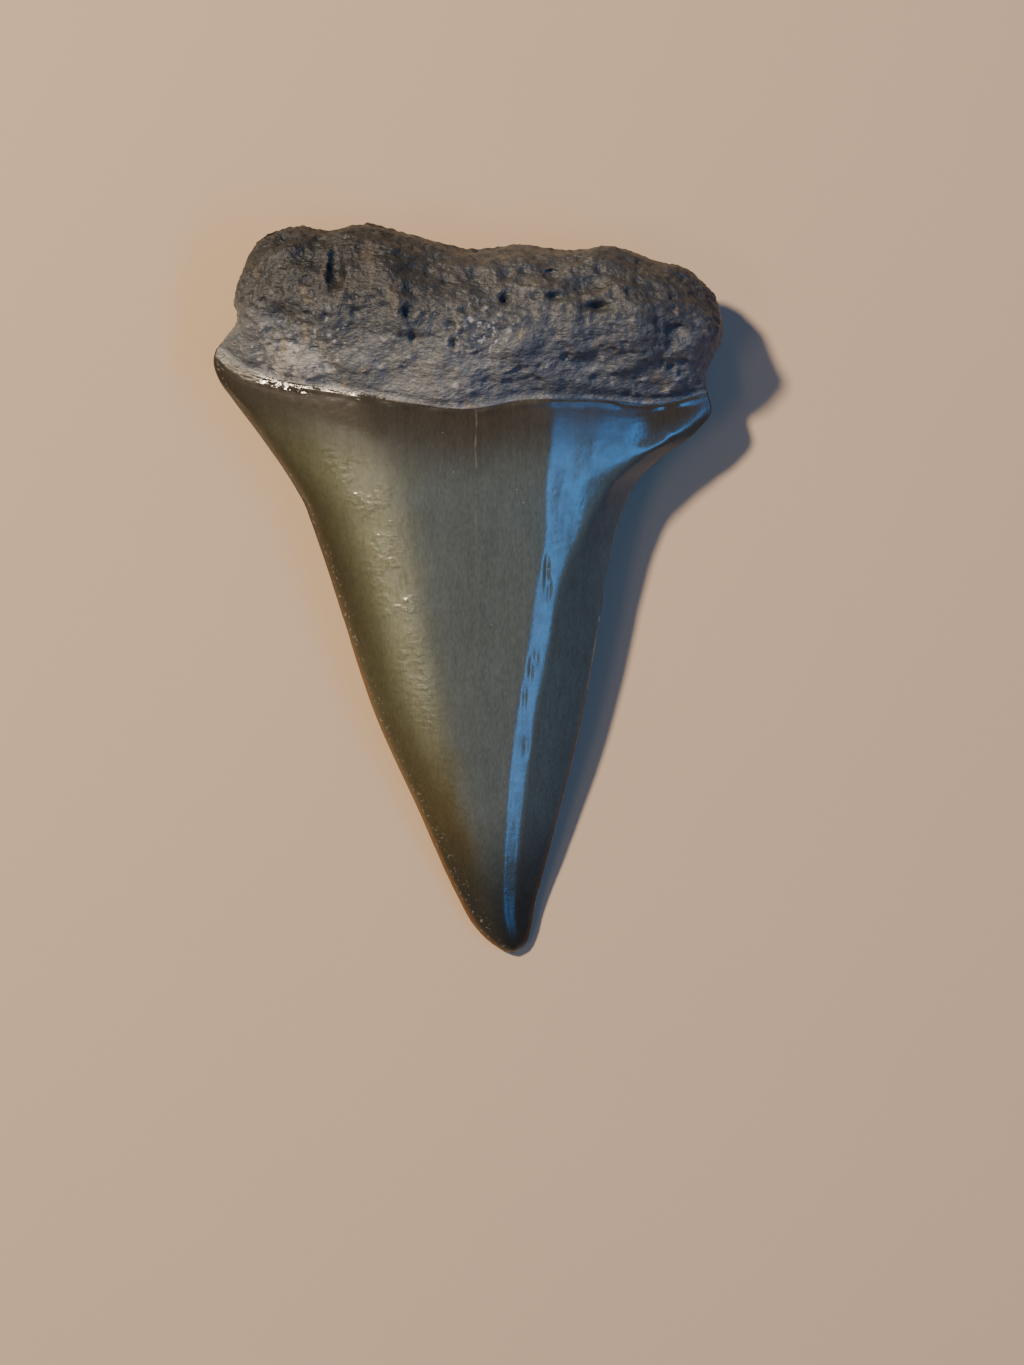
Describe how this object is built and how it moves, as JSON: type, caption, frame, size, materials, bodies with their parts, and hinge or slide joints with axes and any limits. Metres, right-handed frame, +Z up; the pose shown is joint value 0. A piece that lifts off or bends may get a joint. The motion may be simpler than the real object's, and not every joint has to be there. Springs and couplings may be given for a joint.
{
  "type": "fossil shark tooth",
  "caption": "Fossil shark tooth lying on its flatter face: rough blunt root, smooth triangular crown with sharp plain cutting edges, flared shoulders and a slightly hooked tip",
  "frame": {"origin": "middle of the tooth's box, on the surface that it lies on", "axes": "+Y runs from the tip to the root, +X to the right with the convex face up, +Z up out of the convex face"},
  "size_m": [0.0416, 0.06, 0.0126],
  "materials": {
    "fossil": "satin"
  },
  "bodies": {
    "root": {"tooth": "fossil"}
  },
  "joints": []
}
